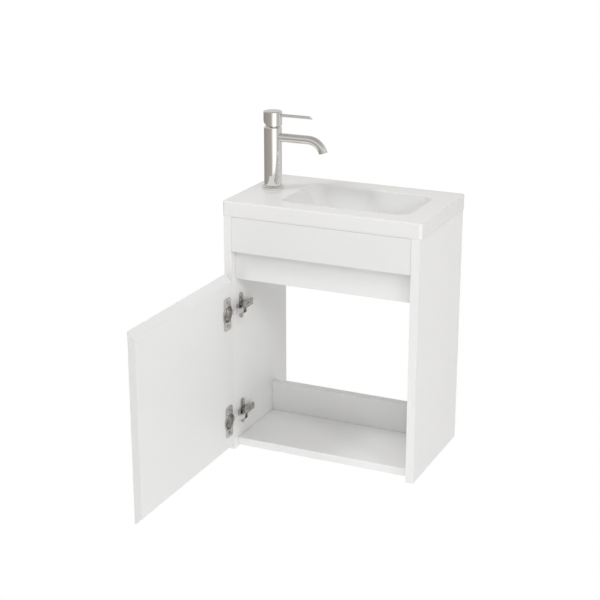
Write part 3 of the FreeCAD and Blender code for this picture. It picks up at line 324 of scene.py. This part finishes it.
def polished_chrome(name):
    """Mirror plating with wipe marks, hair scratches and water spots."""
    n = Nodes(name)
    tint = n.varied(0.0, 1.0, scale=9.0, detail=2.0)
    color = n.blend(tint, rgb(0.81, 0.80, 0.79), rgb(0.86, 0.855, 0.845))
    # painted shade: colour darkened almost to black in hollows and narrow gaps
    color = n.blend(n.crevice(*CHROME_HOLLOW), color, rgb(0.07, 0.066, 0.062))
    spots = n.spread(n.cells(scale=140.0), 0.05, 0.11, 1.0, 0.0)
    spots = n.math("MULTIPLY", spots, n.spread(n.noise(scale=30.0, detail=2.0), 0.55, 0.68))
    wipe = n.noise(scale=22.0, detail=6.0, rough=0.7, distortion=1.0)
    rough = n.spread(wipe, 0.35, 0.8, 0.015, 0.05)
    rough = n.math("ADD", rough, n.math("MULTIPLY", spots, 0.12))
    scratch = n.noise(scale=120.0, detail=2.0, vector=n.stretched((0.6, 0.6, 14.0)))
    normal = n.bump(scratch, depth=0.03 * MM, strength=0.12)
    ripple = n.noise(scale=45.0, detail=1.0)
    normal = n.bump(ripple, depth=0.12 * MM, strength=0.12, normal=normal)
    return n.surface(color, rough, normal, Metallic=1.0)


def plated(name, dark, light, rough_low, rough_high, brush=(1.0, 1.0, 1.0)):
    """Satin plating on pressed or cast metal: brushed lines, bright edges, painted shade in
    hollows.
    """
    n = Nodes(name)
    color = n.blend(n.varied(0.0, 1.0, scale=60.0, detail=4.0, rough=0.6), dark, light)
    bright = rgb(*(min(1.0, channel * 1.12) for channel in light[:3]))
    color = n.blend(n.math("MULTIPLY", n.edge(0.6 * MM), 0.6), color, bright)
    # painted shade: colour darkened in hollows and narrow gaps
    hollow_shade = rgb(*(channel * share for channel, share in zip(dark, METAL_SHADE_TINT)))
    color = n.blend(n.crevice(*METAL_HOLLOW), color, hollow_shade)
    brushed = n.noise(scale=700.0, rough=0.6, vector=n.stretched(brush))
    rough = n.spread(brushed, NOISE_LOW, NOISE_HIGH, rough_low, rough_high)
    normal = n.bump(brushed, depth=0.03 * MM, strength=0.30)
    normal = n.bump(n.noise(scale=350.0), depth=0.05 * MM, strength=0.25, normal=normal)
    return n.surface(color, rough, normal, Metallic=1.0)


def beech(name):
    """Plain beech with its grain along X, as the dowels lie."""
    n = Nodes(name)
    grain = n.noise(scale=240.0, detail=5.0, rough=0.6, vector=n.stretched((0.06, 1.0, 1.0)))
    figure = n.spread(grain, NOISE_LOW, NOISE_HIGH)
    color = n.blend(figure, rgb(0.50, 0.33, 0.18), rgb(0.68, 0.50, 0.31))
    rough = n.spread(grain, NOISE_LOW, NOISE_HIGH, 0.5, 0.7)
    return n.surface(color, rough, n.bump(grain, depth=0.2 * MM, strength=0.4))


def rubber(name):
    """Black rubber with a dusty bloom in patches."""
    n = Nodes(name)
    dust = n.spread(n.noise(scale=110.0, detail=5.0, rough=0.7), 0.45, 0.75)
    color = n.blend(dust, rgb(0.018), rgb(0.055, 0.052, 0.050))
    rough = n.spread(dust, 0.0, 1.0, 0.60, 0.82)
    return n.surface(color, rough, n.bump(n.noise(scale=900.0), depth=0.08 * MM, strength=0.4))


def moulded(name, color_a, color_b, rough_low, rough_high):
    """Moulded plastic with a fine spark-eroded grain."""
    n = Nodes(name)
    color = n.blend(n.varied(0.0, 1.0, scale=20.0), color_a, color_b)
    rough = n.varied(rough_low, rough_high, scale=60.0, detail=4.0, rough=0.6)
    grain = n.noise(scale=1500.0, detail=2.0)
    return n.surface(color, rough, n.bump(grain, depth=0.05 * MM, strength=0.4))


BOARD_TONE = 0.81
DOOR_TONE = 0.775
GLAZE_TONE = 0.81
BRUSHED_ACROSS = (1.0, 0.15, 1.0)           # noise drawn out along Y
TURNED = (1.0, 1.0, 6.0)                    # noise squeezed along Z, as tool marks


def board_material(node, edges):
    """edges are the (axis, side) of this board's banded edges."""
    low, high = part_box(node)
    seams = []
    for axis, side in edges:
        seams.append((axis, low[axis] + BAND if side < 0 else high[axis] - BAND))
    return white_board("board_" + node, BOARD_TONE, seams)


FASCIA_LOW, FASCIA_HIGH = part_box("front_fascia")
FASCIA_JOINTS = ((X, FASCIA_LOW[X]), (X, FASCIA_HIGH[X]), (Z, FASCIA_HIGH[Z]))

CHROME = polished_chrome("chrome_plate")
NICKEL = plated("nickel_plate", rgb(0.58, 0.565, 0.55), rgb(0.80, 0.79, 0.775), 0.16, 0.28,
                BRUSHED_ACROSS)
ZINC = plated("zinc_plate", rgb(0.42, 0.415, 0.41), rgb(0.66, 0.655, 0.64), 0.20, 0.36)
LINK_PLATE = plated("link_plate", rgb(0.84, 0.82, 0.80), rgb(0.93, 0.92, 0.905), 0.26, 0.38,
                    BRUSHED_ACROSS)
STEEL = plated("pressed_steel", rgb(0.38, 0.37, 0.355), rgb(0.62, 0.61, 0.59), 0.14, 0.26,
               BRUSHED_ACROSS)
CAST = plated("zinc_cast", rgb(0.30), rgb(0.44), 0.42, 0.60)
BRASS = plated("turned_brass", rgb(0.50, 0.34, 0.12), rgb(0.78, 0.60, 0.28), 0.20, 0.36, TURNED)
RUBBER = rubber("black_rubber")
GLAZE = glazed("basin_glaze", GLAZE_TONE)
DOOR_PAINT = painted_board("door_paint", DOOR_TONE)
FASCIA_PAINT = painted_board("fascia_paint", DOOR_TONE, FASCIA_JOINTS)
WHITE_PLASTIC = moulded("white_plastic", rgb(0.72), rgb(0.80), 0.30, 0.42)
CARTRIDGE_PLASTIC = moulded("cartridge_plastic", rgb(0.55, 0.55, 0.53), rgb(0.66, 0.66, 0.63),
                            0.40, 0.58)
BEECH = beech("beech_dowel")

FINISH = {
    "left_side_panel": board_material("left_side_panel", ((Y, -1), (Z, -1))),
    "right_side_panel": board_material("right_side_panel", ((Y, -1), (Z, -1))),
    "bottom_shelf": board_material("bottom_shelf", ((Y, -1),)),
    "lower_back_rail": board_material("lower_back_rail", ((Z, 1),)),
    "upper_hanging_rail": board_material("upper_hanging_rail", ((Z, -1),)),
    "recess_rail": board_material("recess_rail", ((Z, -1),)),
    "front_fascia": FASCIA_PAINT,
    "door_panel": DOOR_PAINT,
    "basin": GLAZE,
    "carcass_dowels": BEECH,
    "cam_lock_drums": CAST,
    "cam_lock_bolts": ZINC,
    "waste_body": CHROME,
    "waste_plug": CHROME,
    "waste_upper_seal": RUBBER,
    "waste_cone_washer": RUBBER,
    "waste_nut": WHITE_PLASTIC,
    "tap_base_ring": CHROME,
    "tap_body": CHROME,
    "tap_spout": CHROME,
    "handle_cap": CHROME,
    "lever_rod": CHROME,
    "spout_aerator": CARTRIDGE_PLASTIC,
    "tap_cartridge": CARTRIDGE_PLASTIC,
    "cartridge_nut": BRASS,
    "cartridge_spindle": BRASS,
    "tap_clamp_gasket": RUBBER,
    "tap_clamp_plate": ZINC,
    "tap_clamp_stud": BRASS,
    "tap_clamp_nut": BRASS,
    "handle_pivot_pin": ZINC,
    "handle_grub_screw": ZINC,
    "hinge_cups": NICKEL,
    "hinge_mounting_plates": STEEL,
    "hinge_arms": STEEL,
    "hinge_links": LINK_PLATE,
    "hinge_pins": ZINC,
}


# ================================================================ smooth shading by modifiers
def smoothing_group():
    """Geometry nodes that shade smooth everywhere but across edges sharper than SMOOTH_ANGLE."""
    group = bpy.data.node_groups.new("smooth_by_angle", "GeometryNodeTree")
    for in_out in ("INPUT", "OUTPUT"):
        group.interface.new_socket("Geometry", in_out=in_out, socket_type="NodeSocketGeometry")
    add = group.nodes.new
    start, end = add("NodeGroupInput"), add("NodeGroupOutput")
    faces, edges = add("GeometryNodeSetShadeSmooth"), add("GeometryNodeSetShadeSmooth")
    edges.domain = "EDGE"
    edges.inputs["Shade Smooth"].default_value = False
    angle, compare = add("GeometryNodeInputMeshEdgeAngle"), add("FunctionNodeCompare")
    compare.operation = "GREATER_THAN"
    compare.inputs["B"].default_value = SMOOTH_ANGLE
    link = group.links.new
    link(start.outputs[0], faces.inputs["Geometry"])
    link(angle.outputs["Unsigned Angle"], compare.inputs["A"])
    link(faces.outputs["Geometry"], edges.inputs["Geometry"])
    link(compare.outputs["Result"], edges.inputs["Selection"])
    link(edges.outputs["Geometry"], end.inputs[0])
    return group


SMOOTHING = smoothing_group()


def finish_cad_node(name, material):
    piece = NODES[name]
    piece.data.materials.clear()
    piece.data.materials.append(material)
    weld = piece.modifiers.new("weld", "WELD")
    weld.merge_threshold = WELD_DISTANCE
    piece.modifiers.new("smooth", "NODES").node_group = SMOOTHING
    weighted = piece.modifiers.new("weighted", "WEIGHTED_NORMAL")
    weighted.keep_sharp = True


for node_name, node_material in FINISH.items():
    finish_cad_node(node_name, node_material)


# ================================================================ screws built in mesh code
SCREW_SIDES = 48
HEAD_RADIUS = 3.6 * MM
HEAD_HEIGHT = 2.2 * MM
# (share of the head's radius, share of its height) from the underside to the recess's rim
HEAD_OUTLINE = ((0.99, 0.0), (1.0, 0.16), (0.97, 0.40), (0.88, 0.66), (0.74, 0.86), (0.66, 0.97))
CROSS_LENGTH = 2.05 * MM
CROSS_WIDTH = 0.55 * MM
CROSS_DEPTH = 1.1 * MM
CROSS_WAIST = 1.45          # narrowest reach of the cross, in arm widths
CROSS_TAPER = 0.72          # size of the recess at its foot
CROSS_TIP = 1.35            # depth of its point, in recess depths
SHANK_RADIUS = 1.7 * MM
THREAD_PITCH = 1.3 * MM
THREAD_ROOT = 0.74          # share of the shank's radius
THREAD_END = 0.92           # share of the length where the thread ends
POINT_END = 0.98            # share of the length where the point is
FIRST_ROLL, NEXT_ROLL = 0.35, 1.9           # turn of each screw's cross, in radians
TINY = 1e-6
SORT_DECIMALS = 5


def new_object(name, data):
    thing = bpy.data.objects.new(name, data)
    bpy.context.scene.collection.objects.link(thing)
    return thing


def new_mesh(name, builder, material):
    mesh = bpy.data.meshes.new(name)
    builder.to_mesh(mesh)
    builder.free()
    mesh.materials.append(material)
    return mesh


def islands(node):
    """Middle, low corner and high corner of each separate solid of a CAD node."""
    builder = bmesh.new()
    builder.from_mesh(NODES[node].data)
    bmesh.ops.remove_doubles(builder, verts=builder.verts, dist=WELD_DISTANCE)
    builder.verts.ensure_lookup_table()
    seen, found = set(), []
    for first in builder.verts:
        if first.index in seen:
            continue
        seen.add(first.index)
        stack, members = [first], []
        while stack:
            vert = stack.pop()
            members.append(vert.co.copy())
            for edge in vert.link_edges:
                other = edge.other_vert(vert)
                if other.index not in seen:
                    seen.add(other.index)
                    stack.append(other)
        low_corner = Vector([min(co[i] for co in members) for i in range(3)])
        high_corner = Vector([max(co[i] for co in members) for i in range(3)])
        found.append(((low_corner + high_corner) / 2, low_corner, high_corner))
    builder.free()
    return sorted(found, key=lambda item: tuple(round(v, SORT_DECIMALS) for v in item[0]))


def ring(builder, transform, radius, height):
    """Closed row of points round the screw; radius is a number or a function of the angle."""
    verts = []
    for step in range(SCREW_SIDES):
        a = 2 * math.pi * step / SCREW_SIDES
        r = radius(a) if callable(radius) else radius
        point = Vector((r * math.cos(a), r * math.sin(a), height))
        verts.append(builder.verts.new(transform @ point))
    return verts


def bridge(builder, rows):
    """Faces between each row of points and the next."""
    for lower, upper in zip(rows, rows[1:]):
        for step in range(SCREW_SIDES):
            following = (step + 1) % SCREW_SIDES
            builder.faces.new((lower[step], lower[following], upper[following], upper[step]))


def cap(builder, transform, row, height):
    """Fan of faces from a row to a point on the axis."""
    tip = builder.verts.new(transform @ Vector((0, 0, height)))
    for step in range(SCREW_SIDES):
        builder.faces.new((row[step], row[(step + 1) % SCREW_SIDES], tip))


def cross_radius(angle):
    """Outline of a cross recess with rounded arms."""
    c, s = abs(math.cos(angle)), abs(math.sin(angle))
    reach = min(CROSS_WIDTH / max(min(c, s), TINY), CROSS_LENGTH)
    return max(reach, CROSS_WIDTH * CROSS_WAIST)


def cross_foot(angle):
    return cross_radius(angle) * CROSS_TAPER


def build_screw(builder, transform, length):
    """Pan-head screw with a cross recess; the head's underside is at height 0, the point below."""
    head = [ring(builder, transform, HEAD_RADIUS * r, HEAD_HEIGHT * z) for r, z in HEAD_OUTLINE]
    head.append(ring(builder, transform, cross_radius, HEAD_HEIGHT))
    head.append(ring(builder, transform, cross_foot, HEAD_HEIGHT - CROSS_DEPTH))
    bridge(builder, head)
    cap(builder, transform, head[-1], HEAD_HEIGHT - CROSS_DEPTH * CROSS_TIP)
    shank = [head[0], ring(builder, transform, SHANK_RADIUS, 0.0)]
    steps = 2 * max(2, int(length / THREAD_PITCH))
    for step in range(steps):
        r = SHANK_RADIUS if step % 2 == 0 else SHANK_RADIUS * THREAD_ROOT
        shank.append(ring(builder, transform, r, -length * THREAD_END * (step + 1) / steps))
    bridge(builder, shank)
    cap(builder, transform, shank[-1], -length * POINT_END)


def axis_frame(origin, axis, roll):
    """Placement whose local Z runs along axis."""
    turn = Vector((0, 0, 1)).rotation_difference(axis).to_matrix().to_4x4()
    return Matrix.Translation(origin) @ turn @ Matrix.Rotation(roll, 4, "Z")


def new_piece(name, builder, material, body):
    bmesh.ops.recalc_face_normals(builder, faces=builder.faces)
    piece = new_object(name, new_mesh(name, builder, material))
    piece.modifiers.new("smooth", "NODES").node_group = SMOOTHING
    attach(piece, body)
    return piece


def screws_for(node, body, main):
    """One detailed screw for every CAD screw of a node; the heads face +X or +Y, as main says."""
    axis = Vector([1.0 if i == main else 0.0 for i in range(3)])
    for index, (middle, bottom, top) in enumerate(islands(node)):
        seat = middle.copy()
        seat[main] = top[main] - HEAD_HEIGHT
        length = top[main] - bottom[main] - HEAD_HEIGHT
        builder = bmesh.new()
        build_screw(builder, axis_frame(seat, axis, FIRST_ROLL + NEXT_ROLL * index), length)
        piece = new_piece(f"{node}_{index + 1}", builder, ZINC, body)
        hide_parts(node)


screws_for("hinge_cup_screws", "door", X)
screws_for("hinge_plate_screws", "cabinet", X)
screws_for("hinge_arm_screws", "cabinet", X)
screws_for("fascia_screws", "cabinet", Y)


# ================================================================ floor, light, camera
FLOOR_DROP = 0.30
FLOOR_HALF = 9.0
FLOOR_GLOW = 0.40
AMBIENT = 0.03
STUDIO_TINT = rgb(1.0, 0.993, 0.985)
# soft light from a whole side of the room: direction, strength
LOBES = (((0, 1, 0), 0.05), ((0, 0, 1), 0.78))
# name: azimuth and elevation in degrees, distance and size in metres, power in watts
LAMPS = {
    "key": (27, 44, 2.6, (1.3, 1.3), 13.5),
    "right_high": (95, 52, 2.6, (1.5, 1.3), 4.0),
    "left_high": (-62, 50, 2.4, (0.4, 0.4), 17.0),
    "right_level": (66, 22, 2.6, (0.5, 0.5), 13.5),
    "front_low": (30, -10, 2.6, (1.5, 1.0), 3.0),
}
WARM = (1.0, 0.93, 0.85)
PLAIN = (1.0, 0.98, 0.95)
# upright cards that polished metal mirrors: bearing in degrees (0 in front of the unit, 90 to
# its right), brightness and tint
CARDS = (
    (-180, 0.6, PLAIN),    # wall behind the unit
    (-160, 0.3, WARM),     # dark flag, all of the left
    (-90, 0.35, WARM),
    (5, 0.45, WARM),
    (35, 1.4, PLAIN),      # tall soft box, right of the camera
    (60, 1.4, PLAIN),
    (75, 0.7, PLAIN),
    (95, 0.45, PLAIN),     # narrow flag past the soft box
    (110, 0.7, PLAIN),     # pale wall on the right
    (180, 0.6, PLAIN),
)
# the same over the unit, by the height of the mirrored direction: 0 level, 1 straight up
SKY = (
    (0.0, 0.5, PLAIN),     # rim of the overhead diffuser
    (0.35, 0.8, PLAIN),    # the diffuser
    (0.6, 0.55, PLAIN),
    (1.0, 0.4, PLAIN),     # dim ceiling
)
SKY_START, SKY_FULL = -0.08, 0.06
GROUND_START, GROUND_FULL = -0.45, -0.80
GROUND_LIGHT = 0.7


def aim(thing, target, azimuth, elevation, distance):
    """Stand thing off the target, facing it; azimuth 0 is in front of the unit, 90 to its right."""
    a, e = math.radians(azimuth), math.radians(elevation)
    outward = Vector((math.sin(a) * math.cos(e), -math.cos(a) * math.cos(e), math.sin(e)))
    thing.location = target + outward * distance
    thing.rotation_euler = (-outward).to_track_quat("-Z", "Y").to_euler()


def area_light(name, azimuth, elevation, distance, size, power):
    """Soft box aimed at the middle of the unit, not seen in mirrors."""
    data = bpy.data.lights.new(name, "AREA")
    data.shape = "RECTANGLE"
    data.size, data.size_y = size
    data.energy = power
    lamp = new_object(name, data)
    lamp.visible_glossy = False
    aim(lamp, CENTRE, azimuth, elevation, distance)


def floor_material():
    """Pale matt floor that glows a little, and is plain white to the camera."""
    n = Nodes("studio_floor")
    color = n.blend(n.varied(0.0, 1.0, scale=1.5), rgb(0.93), rgb(0.95))
    rough = n.varied(0.7, 0.8, scale=30.0)
    n.surface(color, rough, n.bump(n.noise(scale=80.0), depth=0.2 * MM, strength=0.2),
              Emission_Color=rgb(1.0), Emission_Strength=FLOOR_GLOW)
    white = n.add("ShaderNodeEmission")
    white.inputs["Color"].default_value = rgb(1.0)
    seen = n.mix(n.ray("Is Camera Ray"), n.shader.outputs["BSDF"], white.outputs["Emission"])
    n.link(seen, n.output.inputs["Surface"])
    return n.material


def make_floor():
    builder = bmesh.new()
    z = CAD_LOW.z - FLOOR_DROP
    corners = ((-1, -1), (1, -1), (1, 1), (-1, 1))
    builder.faces.new([builder.verts.new((x * FLOOR_HALF, y * FLOOR_HALF, z)) for x, y in corners])
    floor = new_object("floor", new_mesh("floor", builder, floor_material()))
    floor.visible_glossy = False


def make_world():
    """White studio. Diffuse light is the sum of soft lobes; glossy surfaces mirror the upright
    cards, the diffuser overhead and the pale ground; the camera sees plain white."""
    world = bpy.data.worlds.new("studio")
    bpy.context.scene.world = world
    world.use_nodes = True
    g = Graph(world.node_tree)

    def background(color, strength=1.0):
        node = g.add("ShaderNodeBackground")
        g.put(node.inputs["Color"], color)
        g.put(node.inputs["Strength"], strength)
        return node.outputs[0]

    split = g.add("ShaderNodeSeparateXYZ")
    g.link(g.add("ShaderNodeTexCoord").outputs["Generated"], split.inputs[0])
    x, y, z = split.outputs
    total = AMBIENT
    for direction, power in LOBES:
        parts = [g.math("MULTIPLY", out, share) for out, share in zip((x, y, z), direction)]
        dot = g.math("ADD", g.math("ADD", parts[X], parts[Y]), parts[Z])
        total = g.math("ADD", total, g.math("MULTIPLY", g.math("MAXIMUM", dot, 0.0), power))
    bearing = g.spread(g.math("ARCTAN2", x, g.math("MULTIPLY", y, -1.0)), -math.pi, math.pi)
    cards = [((degrees + 180) / 360, light, tint) for degrees, light, tint in CARDS]
    mirrored = g.blend(g.spread(z, SKY_START, SKY_FULL), g.ramp(bearing, cards), g.ramp(z, SKY))
    low_down = g.spread(z, GROUND_START, GROUND_FULL)
    mirrored = g.blend(low_down, mirrored, tinted(GROUND_LIGHT, PLAIN))
    room = g.mix(g.ray("Is Glossy Ray"), background(STUDIO_TINT, total), background(mirrored))
    seen = g.mix(g.ray("Is Camera Ray"), room, background(rgb(1.0)))
    g.link(seen, g.add("ShaderNodeOutputWorld").inputs["Surface"])


make_floor()
make_world()
for lamp_name, lamp_settings in LAMPS.items():
    area_light(lamp_name, *lamp_settings)

scene = bpy.context.scene
scene.view_settings.view_transform = "Standard"
camera_data = bpy.data.cameras.new("camera")
camera_data.lens = LENS_MM
camera_data.sensor_width = SENSOR_MM
camera_data.clip_end = CLIP_END
camera = new_object("camera", camera_data)
aim(camera, CENTRE + VIEW_OFFSET, VIEW_AZIMUTH, VIEW_ELEVATION, VIEW_DISTANCE)
scene.camera = camera
